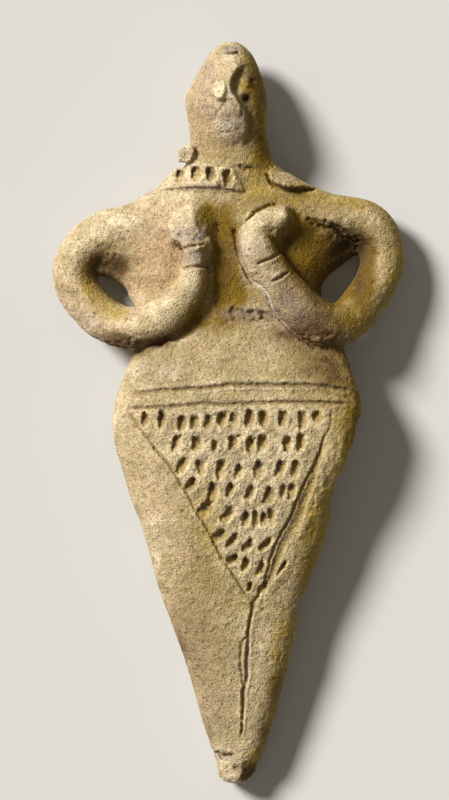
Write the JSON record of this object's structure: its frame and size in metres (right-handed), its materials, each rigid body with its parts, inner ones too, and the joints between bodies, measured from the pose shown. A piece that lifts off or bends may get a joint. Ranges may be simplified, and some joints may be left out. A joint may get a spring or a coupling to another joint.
{
  "type": "clay figurine",
  "caption": "Hand-modelled fired-clay female figurine, hands to the breasts, incised belt and jabbed triangle, tapering to a broken tip, lying on its flat back.",
  "frame": {"origin": "middle of the footprint, on the surface that the back lies on", "axes": "+Y towards the crown of the head, +Z out of the front of the figure, +X towards the right of someone who looks at its front"},
  "size_m": [0.0954, 0.2004, 0.0266],
  "materials": {
    "fired_clay": "unglazed, sandy and matt, pale buff with ochre and grey patches"
  },
  "bodies": {
    "root": {"figurine": "fired_clay"}
  },
  "joints": []
}
